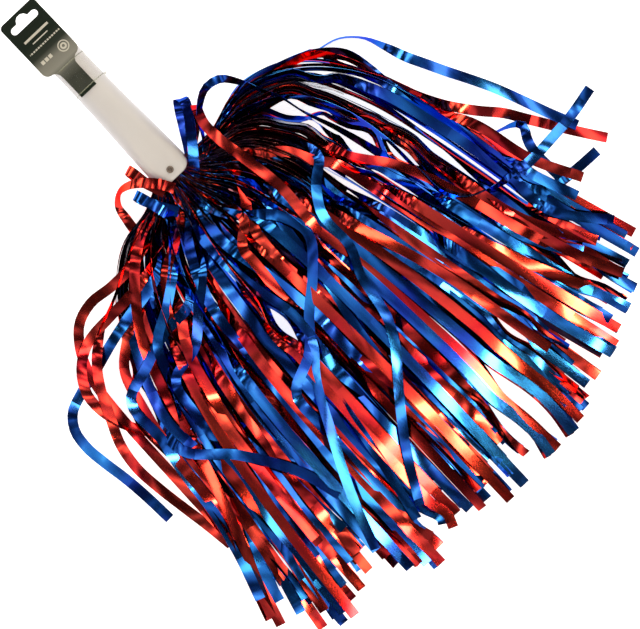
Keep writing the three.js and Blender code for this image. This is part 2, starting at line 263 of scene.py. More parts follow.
def strip_mesh(name, strips, material):
    """One mesh of film strips, each given as a route, the way its width lies, and how crumpled it is."""
    corners = []
    faces = []
    creased = []
    lane_count = 6
    for route, sides, crumple in strips:
        count = len(route)
        forward = unit(np.gradient(route, axis=0))
        across = unit(sides - forward * np.sum(sides * forward, axis=1, keepdims=True))
        up = np.cross(forward, across)
        knots = np.cumsum(luck.uniform(*creases_apart, count))
        knots = np.unique(np.round(knots[knots < count - 1]).astype(int))
        is_crease = np.zeros(count, bool)
        is_crease[knots] = True
        is_crease[[0, -1]] = True
        places = np.flatnonzero(is_crease)
        left = np.interp(np.arange(count), places, luck.normal(0, crumple, len(places)))
        right = np.interp(np.arange(count), places, luck.normal(0, crumple, len(places)))
        crown = crown_height * np.sin(np.linspace(0, luck.uniform(*crown_waves), count) + phase())
        half = strip_width / 2 * np.ones(count)
        first = len(creased) * lane_count
        lanes = []
        for shift, lift, skin in (
            (half, left, 1),
            (0 * half, (left + right) / 2 + crown, 1),
            (-half, right, 1),
            (-half, right, -1),
            (0 * half, (left + right) / 2 + crown, -1),
            (half, left, -1),
        ):
            height = lift + skin * film_thickness / 2
            lanes.append(route + across * shift[:, None] + up * height[:, None])
        corners.append(np.stack(lanes, axis=1).reshape(-1, 3))
        for i in range(count - 1):
            here = first + i * lane_count
            after = here + lane_count
            for lane in range(lane_count):
                beside = (lane + 1) % lane_count
                faces.append((here + lane, here + beside, after + beside, after + lane))
        last = first + (count - 1) * lane_count
        faces.append((first, first + 5, first + 4, first + 1))
        faces.append((first + 1, first + 4, first + 3, first + 2))
        faces.append((last + 1, last + 4, last + 5, last))
        faces.append((last + 2, last + 3, last + 4, last + 1))
        creased.extend(is_crease)
    mesh = bpy.data.meshes.new(name)
    mesh.from_pydata((np.vstack(corners) * MM + mouth).tolist(), [], faces)
    ends = np.zeros(len(mesh.edges) * 2, int)
    mesh.edges.foreach_get("vertices", ends)
    ends = ends.reshape(-1, 2)
    lane = ends % lane_count
    station = ends // lane_count
    runs_along = station[:, 0] != station[:, 1]
    at_rim = np.isin(lane[:, 0], (0, 2, 3, 5))
    sharp = np.where(runs_along, at_rim, np.array(creased)[station[:, 0]])
    mesh.attributes.new("sharp_edge", "BOOLEAN", "EDGE").data.foreach_set("value", sharp.astype(bool))
    mesh.polygons.foreach_set("use_smooth", np.ones(len(mesh.polygons), bool))
    mesh.materials.append(material)
    mesh.update()
    return put(name, mesh)


# Lie of the streamers.
# The pile is a fountain: it leaves the mouth narrow, swells beside it, and thins out to the tips.
# Rails are streamers' routes in plan, from one side of the fan to the other, in millimetres.
rails = np.array([
    [(-6, -9), (3, -28), (8, -50), (24, -72), (60, -98), (110, -116), (175, -126), (240, -146)],
    [(-6, -8), (5, -24), (14, -43), (32, -60), (65, -78), (110, -92), (180, -104), (270, -112)],
    [(-6, -6), (8, -20), (20, -34), (40, -46), (70, -56), (110, -66), (180, -75), (270, -80)],
    [(-6, -4), (12, -11), (28, -18), (48, -25), (75, -31), (110, -36), (180, -40), (276, -40)],
    [(-6, -1), (14, -1), (30, -1), (50, -1), (80, 0), (115, 1), (180, 2), (276, 1)],
    [(-6, 3), (12, 10), (26, 18), (46, 25), (75, 31), (110, 35), (180, 39), (276, 41)],
    [(-6, 5), (8, 20), (20, 35), (42, 46), (72, 53), (110, 62), (180, 74), (274, 82)],
    [(-6, 7), (3, 26), (12, 46), (32, 60), (66, 68), (105, 78), (175, 95), (261, 116)],
    [(-6, 8), (-2, 32), (-2, 60), (12, 84), (50, 102), (100, 114), (170, 130), (243, 151)],
    [(-6, 10), (-5, 36), (-13, 66), (0, 102), (40, 130), (90, 146), (150, 158), (215, 178)],
], float)
rail_places = rails[:, -1, 1]


def rail(place, drift=0.0):
    """The plan route of a streamer whose tip lies at this place across the fan."""
    joints = rails.shape[1]
    points = []
    for j in range(joints):
        here = place + drift * (1 - j / (joints - 1)) * (j > 0)
        points.append([np.interp(here, rail_places, rails[:, j, i]) for i in (0, 1)])
    return points


# Gaps where the table shows between the streamers: x, y, half length, half width and heading.
gaps_in_pile = [
    (249, 60, 29, 3.8, 8), (253, 44, 20, 1.8, 7), (93, -98, 20, 3.6, -14), (94, -110, 20, 3.9, -19),
    (57, -108, 14, 5.3, -57), (40, -102, 17, 3.9, -79), (63, 94, 14, 6.0, 19), (82, 108, 14, 2.7, 2),
    (40, 88, 10, 3.9, 66), (16, 79, 13, 3.3, 43), (8, 108, 10, 3.3, 60), (108, -15, 14, 2.4, -8),
    (208, 138, 13, 1.9, 32), (206, 84, 13, 1.6, 9), (153, 156, 9, 2.7, 17), (257, -31, 7, 2.5, -27),
]
gap_margin = 3.0
gap_tapers_over = 1.6
gap_crowds_beside = 11


def parted(plan):
    """The plan route, pushed aside where it would cross a gap in the pile."""
    for x, y, half_length, half_width, heading in gaps_in_pile:
        c, s = math.cos(math.radians(heading)), math.sin(math.radians(heading))
        along = (plan[:, 0] - x) * c + (plan[:, 1] - y) * s
        across = (plan[:, 1] - y) * c - (plan[:, 0] - x) * s
        hand = 1.0 if across[np.argmin(np.hypot(along, across))] >= 0 else -1.0
        taper = np.clip(1 - (along / (gap_tapers_over * half_length)) ** 2, 0, 1) ** 2
        hole = (half_width + gap_margin) * taper
        push = hole * np.clip(1 - np.abs(across) / (hole + gap_crowds_beside), 0, 1) * hand
        plan = plan + np.column_stack([-s * push, c * push])
    return plan


# The pile's top, in millimetres: it swells past the mouth, then thins out to the tips and the sides.
height_at_tips = 3.5
swell = 41
swells_between = (8, 62)
thins_from = 55
thins_over = 232
thins_curve = 1.7
middle_of_pile = 8
middle_drifts = 0.06
half_width_of_pile = 165
lower_at_sides = 0.55


def pile_height(x, y):
    """The height of the pile's top at a place in plan."""
    reach = np.hypot(x, y)
    side = np.clip(np.abs(y - middle_of_pile - middle_drifts * x) / half_width_of_pile, 0, 1) ** 2
    thinning = np.clip((reach - thins_from) / thins_over, 0, 1) ** thins_curve
    swollen = swell * ease(reach, *swells_between)
    return height_at_tips + swollen * (1 - thinning) * (1 - lower_at_sides * side)


height_in_mouth = 7
leaves_mouth = (2, 40)
ripple_length = (7, 15)
ripple_starts = (20, 60)
tip_curls_over = (40, 80)
clearance = 0.3


def lay(plan, level, roll, wave, curl=2.2):
    """A streamer's route and width directions, from its plan, its level in the pile and its roll."""
    x, y = plan[:, 0], plan[:, 1]
    run = np.linspace(0, 1, len(plan)) * len(plan) * station_gap
    reach = np.hypot(x, y)
    away = ease(reach, *leaves_mouth)
    from_mouth = axis_height + (level - 0.5) * height_in_mouth
    ripple = wave * np.sin(run / luck.uniform(*ripple_length) + phase()) * ease(reach, *ripple_starts)
    tip_curl = luck.normal(0, curl)
    ripple = ripple + tip_curl * ease(run, run[-1] - luck.uniform(*tip_curls_over), run[-1]) ** 1.5
    height = from_mouth * (1 - away) + (0.5 + level * pile_height(x, y)) * away + ripple
    lowest = clearance + strip_width / 2 * np.abs(np.sin(roll))
    height = np.maximum(height, lowest + clearance)
    route = np.column_stack([plan, height])
    forward = unit(np.gradient(route, axis=0))
    level_side = unit(np.cross((0, 0, 1), forward))
    upward = np.cross(forward, level_side)
    sides = level_side * np.cos(roll)[:, None] + upward * np.sin(roll)[:, None]
    return route, sides


# How strips roll, in degrees: a share of them lies face down, and a share of the restless ones leans.
packed_roll = (60, 82)
face_down_share = 0.25
leaning_share = 0.28
leaning_roll = (25, 55)
restless = 8
turn_length = (14, 30)


def rolling(plan, flat_from, flat_by, rest=11.0):
    """The roll along a streamer: on edge where it is packed, then nearly flat, with slow turns."""
    run = np.arange(len(plan)) * station_gap
    hand = luck.choice((-1, 1))
    lying = 180.0 if luck.random() < face_down_share else 0.0
    if rest > restless and luck.random() < leaning_share:
        lying = lying + luck.uniform(*leaning_roll)
    turning = 1 - ease(run, flat_from, flat_by)
    slow = rest * np.sin(run / luck.uniform(*turn_length) + phase()) + luck.normal(0, rest * 0.7)
    packed = luck.uniform(*packed_roll)
    return np.radians(hand * (turning * packed + (1 - turning) * lying) + slow * (1 - 0.6 * turning))


# Loose streamers.
# Single strips that lie out past the tufts, down the side of the pile and on the table. Each is
# free from the mouth to its bare, square-cut tip.
on_top = 0.96
down_to_table = 0.92
turns_flat_over = 40
loose_crumple = 0.17

# Each has its colour, its tuft, where it turns flat, between which lengths it comes down, and its
# points in plan, in millimetres from the middle of the mouth.
loose_streamers = {
    "stray_blue_lower": ("blue", 1, 30, (95, 165), [
        (-4, -6), (8, -22), (20, -35), (31, -41), (38, -58), (42, -80), (46, -98), (51, -116), (55, -133),
        (60, -145), (68, -151), (80, -153), (95, -151.5), (110, -149), (129, -147), (147, -146)]),
    "stray_blue_upper": ("blue", 7, 135, (30, 90), [
        (-4, 8), (-4, 24), (-6, 42), (-9, 60), (-7, 80), (-2, 98), (2, 114), (6, 129), (16, 140), (29, 146),
        (42, 151), (54, 157), (66, 163), (79, 170), (93, 177), (110, 184), (128, 191), (144, 198)]),
    "stray_red_upper": ("red", 7, 170, (215, 255), [
        (-4, 7), (-4, 30), (-10, 58), (-4, 88), (12, 110), (40, 129), (66, 141), (84, 150), (97, 160),
        (108, 170), (120, 178), (132, 186), (146, 195), (162, 206)]),
    "stray_blue_crossing": ("blue", 7, 215, (260, 300), [
        (-4, 6), (-2, 30), (0, 58), (14, 84), (40, 100), (70, 107), (98, 108), (118, 110), (129, 117),
        (135, 130), (138.5, 145), (140, 162), (139, 180), (137, 200), (133, 219)]),
    "stray_blue_short": ("blue", 7, 215, (255, 285), [
        (-4, 7), (-5, 34), (-9, 64), (2, 94), (28, 120), (62, 135), (100, 143), (132, 146), (149, 148),
        (158, 154), (161.5, 165), (163, 180), (163.5, 196)]),
    "loose_red_lower": ("red", 1, 24, (110, 190), [
        (-4, -6), (6, -14), (13, -26), (18, -42), (21, -58), (21.5, -74), (20, -90), (24, -103), (33, -112),
        (46, -119), (62, -123), (82, -125), (105, -126), (130, -126.5), (158, -127), (185, -127)]),
    "loose_red_returning": ("red", 1, 30, (120, 190), [
        (-4, -5), (10, -17), (22, -30), (29, -46), (33, -66), (34, -88), (36, -107), (44, -121), (58, -130),
        (76, -130), (92, -124), (108, -113), (124, -100), (140, -86), (158, -70)]),
    "loose_red_outer": ("red", 1, 85, (100, 180), [
        (-4, -7), (3, -20), (9, -38), (18, -58), (28, -78), (36, -96), (46, -110), (60, -121), (78, -130),
        (94, -137), (110, -139.5), (130, -138), (150, -135), (168, -132), (184, -130)]),
}


def loose_streamer(name, colour, tuft, flat_from, coming_down, points):
    """A free strip: on edge at the mouth, then flat on the pile, and down to the table."""
    plan = smooth_line(points)
    run = np.arange(len(plan)) * station_gap
    levels = on_top - down_to_table * ease(run, *coming_down)
    roll = rolling(plan, flat_from, flat_from + turns_flat_over, rest=7.0)
    route, sides = lay(plan, levels, roll, wave=0.4)
    piece = strip_mesh(name + "_film", [(route, sides, loose_crumple)], films[colour])
    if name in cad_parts:
        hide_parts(name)
    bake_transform(piece)
    line = route * MM + mouth


for name, facts in loose_streamers.items():
    loose_streamer(name, *facts)


# Tufts of streamers.
# Some two hundred and forty strips leave the mouth of the handle on edge, packed face to face, then
# turn flat and fan out. The pinch and the rivet hold them, and each tuft is made as pieces of its own.
tuft_edges = [-97, -66, -30, 10, 55, 95]
tuft_count = len(tuft_edges) + 1
tufts = {(k, colour): [] for k in range(1, tuft_count + 1) for colour in ("red", "blue")}
outer_part_from = 120


def add_to_tuft(colour, strip, plan):
    """Put a strip in the tuft where the outer part of its route lies."""
    outer = plan[plan[:, 0] > outer_part_from]
    if len(outer) == 0:
        outer = plan[-5:]
    k = 1 + int(np.searchsorted(tuft_edges, np.mean(outer[:, 1])))
    tufts[(k, colour)].append(strip)


upper_side = (105, 155)
lower_side = (70, 130)
upper_side_longer = 75
lower_side_longer = 35


def packed_longer(place):
    """How much further the strips stay on edge at the two sides of the fan, where they arch round."""
    upper = upper_side_longer * float(ease(place, *upper_side))
    lower = lower_side_longer * float(ease(-place, *lower_side))
    return upper + lower


# The top layer, whose tips set the edge of the fan: x, y, colour and shine. A bright strip slopes
# evenly down to its tip.
tips = [
    (229, -132, "blue", ""), (243, -126, "red", ""), (233, -142, "red", ""), (264, -113, "blue", ""),
    (267, -105, "red", "bright"), (249, -98, "blue", ""), (229, -112, "blue", ""), (246, -90, "blue", ""),
    (232, -90, "red", ""), (253, -80, "red", ""), (240, -76, "red", ""), (247, -68, "blue", ""),
    (262, -66, "red", ""), (269, -60, "blue", "bright"), (271, -55, "red", ""), (280, -45, "red", ""),
    (272, -39, "red", ""), (262, -31, "blue", ""), (269, -25, "red", "bright"), (268, -10, "blue", ""),
    (264, -18, "red", "bright"), (271, 2, "blue", ""), (264, 6, "red", ""), (255, 12, "blue", ""),
    (281, 12, "red", "bright"), (280, 25, "blue", "bright"), (270, 22, "blue", ""), (251, 32, "red", ""),
    (253, 37, "blue", ""), (267, 40, "red", ""), (278, 48, "blue", "bright"), (238, 51, "red", ""),
    (278, 55, "red", "bright"), (278, 65, "blue", "bright"), (275, 76, "red", "bright"),
    (271, 79, "blue", ""), (272, 84, "blue", ""), (268, 88, "red", ""), (262, 94, "blue", "bright"),
    (263, 102, "red", ""), (238, 101, "blue", ""), (259, 118, "blue", ""), (251, 131, "red", "bright"),
    (236, 130, "blue", ""), (246, 143, "blue", ""), (241, 146, "red", ""), (240, 153, "blue", ""),
    (228, 156, "red", ""), (225, 171, "blue", "bright"), (203, 158, "red", "bright"),
    (213, 150, "blue", ""), (197, 146, "blue", ""),
]

# The body of the fan: strips below the top layer, from the floor up. The higher a strip lies, the
# later it may turn flat, and the upper side of the fan is thinner.
body_count = 160
body_levels = (0.03, 0.74)
body_crumple = 0.08
thin_side_from = 110
place_scatter = 2.5
route_drift = 15
tip_scatter = 2.0
stations_short = (0, 7)
flat_soonest = 20
flat_latest = 60
later_when_high = 150
for i in range(body_count):
    x, y, _, _ = tips[i % len(tips)]
    colour = "red" if luck.random() < 0.5 else "blue"
    if y > thin_side_from and i >= 2 * len(tips):
        continue
    points = rail(y + luck.normal(0, place_scatter), luck.normal(0, route_drift))
    points[-1] = (x, y + luck.normal(0, tip_scatter))
    plan = parted(smooth_line(points))
    plan = plan[: len(plan) - int(luck.uniform(*stations_short))]
    level = luck.uniform(*body_levels)
    flat_from = luck.uniform(flat_soonest, flat_latest + later_when_high * level) + packed_longer(y)
    roll = rolling(plan, flat_from, flat_from + luck.uniform(25, 60))
    route, sides = lay(plan, level, roll, wave=0.7)
    add_to_tuft(colour, (route, sides, body_crumple), plan)

bright_levels = (0.95, 1.0)
dull_levels = (0.55, 0.85)
tip_crumple = 0.09
tip_drift = 9
tips_flat_latest = 110
for x, y, colour, shine in tips:
    points = rail(y, luck.normal(0, tip_drift))
    points[-1] = (x, y)
    plan = parted(smooth_line(points))
    flat_from = luck.uniform(flat_soonest, tips_flat_latest) + packed_longer(y)
    if shine:
        roll = rolling(plan, flat_from, flat_from + turns_flat_over, rest=2.5)
        route, sides = lay(plan, luck.uniform(*bright_levels), roll, wave=0.15, curl=0.5)
    else:
        roll = rolling(plan, flat_from, flat_from + luck.uniform(20, 50))
        route, sides = lay(plan, luck.uniform(*dull_levels), roll, wave=0.7)
    add_to_tuft(colour, (route, sides, tip_crumple), plan)

# Rails close together across the whole fan, for the strips whose ends run under others.
rail_count = 90
rail_step = 3.0
joins_before = 5
leaves_after = 8
across_fan = np.linspace(rail_places[0], rail_places[-1], rail_count)
all_rails = [smooth_line(rail(place), rail_step) for place in across_fan]


def nearest(point):
    """The rail that passes nearest to a point in plan, and where on it."""
    gaps = [np.hypot(*(line - point).T) for line in all_rails]
    best = min(range(len(all_rails)), key=lambda n: gaps[n].min())
    return all_rails[best], int(gaps[best].argmin())


def bury(points, start_under, end_under):
    """A plan route through the points, carried back to the mouth and on to a tip along the rails."""
    whole = [tuple(p) for p in points]
    if start_under:
        line, stop = nearest(np.array(points[0]))
        back = line[:max(stop - joins_before, 2)][::8]
        whole = [tuple(p) for p in back] + whole
    else:
        whole = [(-6.0, np.clip(points[0][1], -9, 9))] + whole
    if end_under:
        line, begin = nearest(np.array(points[-1]))
        whole = whole + [tuple(p) for p in line[begin + leaves_after:][::10]]
    return smooth_line(whole)


# Streamers that lie on top of the rest: colour, level, points in plan, whether the start and the
# end lie under others, and shine.
loose_tops = [
    ("blue", 1.00, [(50, 70), (62, 57), (75, 48.5), (105, 46), (118, 40), (150, 33), (165, 25),
                    (180, 13), (195, 1), (215, -13), (245, -30)], True, False, "bright"),
    ("red", 0.97, [(20, 40), (28, 50), (35, 58), (51, 67), (60, 74)], False, True, ""),
    ("blue", 0.92, [(29, 45), (38, 55), (55, 60), (75, 62)], False, True, "bright"),
    ("blue", 0.90, [(27, 29), (52, 29), (75, 25), (105, 23), (140, 16), (195, 12), (240, 14)],
     False, False, "bright"),
    ("red", 0.93, [(20, 29), (38, 21), (45, 16), (75, 10)], False, True, ""),
    ("blue", 0.95, [(25, 1), (43, 11), (58, 27), (78, 34), (100, 18), (114, 2), (132, -15), (145, -38)],
     False, True, ""),
    ("red", 0.95, [(46, 12), (61, -1.5), (68, -1.5), (100, -4)], True, True, "bright"),
    ("blue", 0.97, [(22, -13), (55, -15), (90, -10), (103, -7), (150, -10)], False, True, "bright"),
    ("blue", 0.90, [(20, -3), (45, -7), (75, -2), (120, 4)], False, True, ""),
    ("blue", 0.97, [(52, -28), (68, -46), (82, -62), (89, -85)], True, True, "bright"),
    ("blue", 0.96, [(60, -45), (64, -72), (72, -95), (78, -112), (110, -116)], True, True, ""),
    ("red", 0.97, [(62, -55), (77, -65), (110, -75)], True, True, ""),
    ("red", 0.85, [(48, -85), (63, -103), (88, -111), (130, -118)], False, True, ""),
    ("blue", 0.85, [(47, -82), (75, -97), (105, -106), (125, -105)], False, True, ""),
    ("red", 0.97, [(6, -24), (9, -36), (18, -50), (34, -66), (60, -84)], False, True, ""),
    ("blue", 0.98, [(8, -16), (22, -24), (38, -38), (52, -56), (66, -78)], False, True, "bright"),
    ("blue", 0.95, [(12, -8), (30, -20), (48, -30), (70, -38)], False, True, ""),
    ("red", 0.97, [(14, -12), (28, -28), (38, -44), (56, -60)], False, True, "bright"),
    ("blue", 0.99, [(120, -112), (148, -88), (185, -67), (207, -61)], True, False, ""),
    ("blue", 0.97, [(130, -10), (145, -22), (175, -38), (215, -57), (246, -68)], True, False, "bright"),
    ("blue", 0.93, [(165, -22), (205, -28), (250, -37)], True, False, "bright"),
    ("red", 0.96, [(133, -106), (150, -111), (185, -123), (232, -142)], True, False, "bright"),
    ("red", 0.92, [(110, -78), (170, -86), (220, -90)], True, False, "bright"),
    ("blue", 0.97, [(122, 173), (130, 169), (160, 168)], True, False, "bright"),
    ("red", 0.90, [(100, 152), (140, 163), (169, 178)], True, False, ""),
    ("blue", 0.88, [(140, 155), (175, 168)], True, False, ""),
    ("blue", 0.95, [(170, 150), (201, 174)], True, False, ""),
    ("red", 0.92, [(180, 150), (203, 158)], True, False, "bright"),
    ("blue", 0.90, [(190, 150), (226, 162)], True, False, "bright"),
    ("red", 0.95, [(150, 128), (200, 143), (228, 156)], True, False, ""),
    ("red", 0.93, [(150, 105), (200, 125), (241, 146)], True, False, ""),
    ("red", 0.98, [(90, 56), (120, 66), (160, 78), (190, 84), (230, 92)], True, False, "bright"),
    ("blue", 0.90, [(150, 92), (210, 104), (259, 118)], True, False, ""),
    ("red", 0.94, [(60, 82), (85, 100), (130, 118), (170, 130)], True, True, "bright"),
]
loose_top_crumple = 0.11
comes_up_over = 30
flat_past_start = 8
goes_under_over = 40
goes_under_by = 0.3
buried_level = 0.55
laid_over = 0.04
side_lamp_leans = (-19.0, 21.0)


def leaning(run):
    """A roll that keeps near the lean at which the strip mirrors a side lamp."""
    lean = luck.choice(side_lamp_leans)
    return lean + 5 * np.sin(run / luck.uniform(16, 28) + phase())


def passes(plan, point):
    """How far along the plan route it passes nearest to a point."""
    return float(np.hypot(*(plan - np.array(point)).T).argmin()) * station_gap


for colour, level, points, start_under, end_under, shine in loose_tops:
    plan = bury(points, start_under, end_under)
    begin = passes(plan, points[0])
    run = np.arange(len(plan)) * station_gap
    flat_by = begin + flat_past_start
    flat_from = max(begin - comes_up_over, 4)
    roll = rolling(plan, flat_from, flat_by, rest=6.0)
    if shine:
        lean = np.radians(leaning(run)) * ease(run, begin - comes_up_over, flat_by)
        roll = roll * ease(run, flat_by, flat_from) + lean
    rise = ease(run, begin - comes_up_over, begin) if start_under else 1.0
    levels = buried_level + (level + laid_over - buried_level) * rise
    if end_under:
        stop = passes(plan, points[-1])
        levels = levels - goes_under_by * ease(run, stop, stop + goes_under_over)
    route, sides = lay(plan, levels, roll, wave=0.6)
    add_to_tuft(colour, (route, sides, loose_top_crumple), plan)

# Streamers that arch out past the upper side of the neck: colour, level, points in plan, then the
# roll at each point, in degrees. Further on they settle nearly flat.
arching = [
    ("blue", 0.99, [(4, 15), (-3, 25), (-19, 37), (-26, 50), (-24, 59), (-16, 65.5), (-3, 72), (9, 78),
                    (23, 81.5)], [80, 80, 60, 42, 38, 55, 70, 78, 82]),
    ("red", 0.97, [(3, 16), (-6, 40), (-11, 57), (-9, 69.5), (-4, 86), (3.5, 110), (18, 122)],
     [80, 80, 76, 66, 52, 44, 70]),
    ("blue", 1.00, [(3, 17), (-8, 50), (-11, 72), (-6, 92), (5, 115), (16, 125), (34, 129), (46, 130)],
     [82, 82, 80, 74, 64, 48, 26, 12]),
]
arching_crumple = 0.08
settled_after = 90
settled_roll = 8.0
for colour, level, points, rolls in arching:
    plan = bury(points, False, True)
    run = np.arange(len(plan)) * station_gap
    stops = [passes(plan, point) for point in points]
    roll = np.radians(np.interp(run, [*stops, stops[-1] + settled_after], [*rolls, settled_roll]))
    levels = level - goes_under_by * ease(run, stops[-1], stops[-1] + goes_under_over)
    route, sides = lay(plan, levels, roll, wave=0.4)
    add_to_tuft(colour, (route, sides, arching_crumple), plan)

for (k, colour), strips in tufts.items():
    piece = strip_mesh(f"tuft_{k}_{colour}_streamers", strips, films[colour])
    nodes = [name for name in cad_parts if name.startswith(f"tuft_{k}_{colour}_")]
    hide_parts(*nodes)
    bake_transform(piece)


# Gathered film.
# Where the strips leave the mouth they stand on edge, packed face to face. Their film is painted
# near-black: painted shade for the shade deep in the packed pile, where the real film is red and blue.
# The outermost ones arch out at both sides of the neck. They are held by the pinch of the handle.
# Painted shade: near-black navy and maroon stand in for red and blue film lying in shade deep in the pile.
gathered_painted_shade_blue = (0.010, 0.020, 0.095)
gathered_painted_shade_red = (0.080, 0.008, 0.014)
gathered_red_from = 0.42
gathered_contrast = 6.0
gathered_crumple = 0.2
edge_scatter = 6
edge_sway = 8
end_droop = 0.25


# The base colour is painted shade, near-black where the real film is red and blue; the coat gives real
# glints.
def gathered_painted_shade_look(paint):
    cloud = paint.noise(30.0, (0.4, 1.6, 1.6), 3.0)
    streaks = paint.noise(400.0, (0.1, 1.0, 1.0), 2.0)
    red_layers = (cloud - gathered_red_from) * gathered_contrast
    return {
        "Base Color": paint.colours(red_layers, gathered_painted_shade_blue, gathered_painted_shade_red),
        "Metallic": 1.0,
        "Roughness": 0.14 + 0.16 * streaks,
        "Coat Weight": 0.5,
        "Coat Roughness": 0.12,
        "Normal": paint.bump(streaks, 0.15, 0.0004),
    }


gathered_painted_shade_film = finish_coat("gathered_painted_shade_film", gathered_painted_shade_look)


def gathered(count, places, length, levels, drift, edge=78.0):
    """Strips on edge along the rails, from the mouth out to a given length; their dark look is painted shade.
    """
    strips = []
    for place in np.linspace(*places, count):
        plan = parted(smooth_line(rail(place, luck.normal(0, drift))))
        plan = plan[: int(luck.uniform(*length) / station_gap)]
        part = np.linspace(0, 1, len(plan))
        hand = luck.choice((-1, 1))
        on_edge = hand * luck.normal(edge, edge_scatter)
        roll = np.radians(on_edge + edge_sway * np.sin(part * luck.uniform(2, 7)))
        level = luck.uniform(*levels) - end_droop * ease(part, 0.7, 1.0)
        route, sides = lay(plan, level, roll, wave=0.5)
        strips.append((route, sides, gathered_crumple))
    return strips


neck = strip_mesh("neck_bundle", gathered(80, (-128, 165), (32, 60), (0.80, 0.98), 5), gathered_painted_shade_film)
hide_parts("streamer_neck")
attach(neck, "handle")

for name, body, strips in (
    ("dome_bundle", "tuft_6", gathered(56, (88, 136), (84, 122), (0.75, 1.02), 3, 72.0)),
    ("side_curls_upper_film", "tuft_7", gathered(22, (148, 177), (110, 190), (0.2, 0.9), 4, 84.0)),
    ("side_curls_lower_film", "tuft_1", gathered(20, (-146, -112), (90, 150), (0.2, 0.9), 4, 82.0)),
):
    piece = strip_mesh(name, strips, gathered_painted_shade_film)
    curls = name.replace("_film", "")
    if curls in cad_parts:
        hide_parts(curls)
    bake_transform(piece)


# Loops at the neck.
# Five strips turn back beside the mouth and fold over themselves before they join the fan. Each
# point is x, y, height, then the turn and the tilt of the strip's width, in degrees.
loop_crumple = 0.1
loop_step = 1.6
reaches_fan_at = 60
loops = {
    "neck_loop_blue_upper": [
        (4, 9, 12, 60, 0), (-8, 17, 10, 60, 0), (-20, 24, 11, 60, 0), (-30, 30, 13, 60, 0),
        (-33.5, 33, 17, 60, 0), (-31, 35, 21, 62, 6), (-21, 30, 23, 62, 14), (-10, 22, 23, 60, 16),
        (0, 14, 19, 50, 10), (8, 7, 12, 45, 10),
    ],
    "neck_loop_red_upper": [
        (4, 10, 12, 42, 0), (-6, 18, 13, 42, 20), (-14, 28, 15, 42, 10), (-21, 36, 19, 44, 0),
        (-23.5, 38, 24, 50, 0), (-21, 37, 29, 66, -8), (-12, 34, 33, 88, -12), (0, 34, 36, 95, -4),
        (20, 37, 41, 96, 6), (50, 41, 46, 94, 0), (70, 40, 45, 90, 8), (92, 38, 38, 90, 0),
        (120, 38, 30, 90, 0),
    ],
    "neck_loop_red_lower": [
        (6, -9, 14, 108, 10), (-6, -15, 12, 108, 6), (-16, -18, 10, 110, 0), (-22, -19, 10.5, 110, 0),
        (-24, -19, 13, 110, 0), (-21, -18, 15.5, 110, 4), (-9, -16, 17, 116, 10), (2, -12, 18, 120, 10),
    ],
    "neck_curl_red_lower": [
        (4, -6, 20, 125, 0), (-3, -10, 23, 130, -6), (-10, -16, 22, 138, -10), (-16, -24, 18, 150, -40),
        (-17.5, -31, 13, 180, -60), (-12, -38, 9, 225, -45), (-2, -40, 9, 258, -20), (14, -42, 12, 265, 0),
        (34, -47, 16, 262, 0),
    ],
    "neck_loop_blue_lower": [
        (16, -14, 20, 110, 0), (4, -21, 19, 112, 0), (-6, -25.5, 18, 112, 0), (-9.5, -26, 21, 112, 0),
        (-7, -25, 24, 110, 4), (1, -22.5, 26, 108, 10), (9, -20.5, 25, 108, 8), (18, -18, 18, 106, 0),
    ],
}
for name, points in loops.items():
    colour = "red" if "red" in name else "blue"
    knots = [(x, y, z, math.radians(turn), math.radians(tilt)) for x, y, z, turn, tilt in points]
    line = smooth_line(knots, loop_step)
    turn, tilt = line[:, 3], line[:, 4]
    sides = np.column_stack([np.cos(turn) * np.cos(tilt), np.sin(turn) * np.cos(tilt), np.sin(tilt)])
    piece = strip_mesh(name + "_film", [(line[:, :3], sides, loop_crumple)], films[colour])
    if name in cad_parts:
        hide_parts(name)
    if line[-1][0] > reaches_fan_at:
        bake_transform(piece)
    else:
        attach(piece, "handle")


# Handle.
# A white plastic tube, cut square at the butt and warmed and pressed at the other end to a flat
# oval mouth with round corners, which pinches the film. It has soft creases where it was pressed.
tube_radius = (tube_high.z - tube_low.z) / 2 / MM
tube_length = (tube_high.x - tube_low.x) / MM
tube_wall = 1.2
mouth_half = (tube_high.y - tube_low.y) / 2 / MM
mouth_flat = 8.2
mouth_corner = 8.0
press_from = 38.0
press_to = 12.0
widen_from = 2.2 * press_from
corners_cut_from = 26
edge_round = 0.3
flattening = 4
oval_fullness = 0.82
crease_depth = 0.22
crease_width = 1.1
crease_starts = 4
crease_spreads = 5
tube_sides = 96
handle_shade = (0.56, 0.56, 0.60)
handle_white = (0.64, 0.65, 0.71)


def solid(name, corners, faces, material, sharp_angle=40.0):
    """A closed piece from its corners, in millimetres from the mouth, and its faces."""
    mesh = bpy.data.meshes.new(name)
    mesh.from_pydata((np.array(corners, float) * MM + mouth).tolist(), [], faces)
    mesh.polygons.foreach_set("use_smooth", np.ones(len(mesh.polygons), bool))
    mesh.materials.append(material)
    mesh.update()
    mesh.set_sharp_from_angle(angle=math.radians(sharp_angle))
    return put(name, mesh)


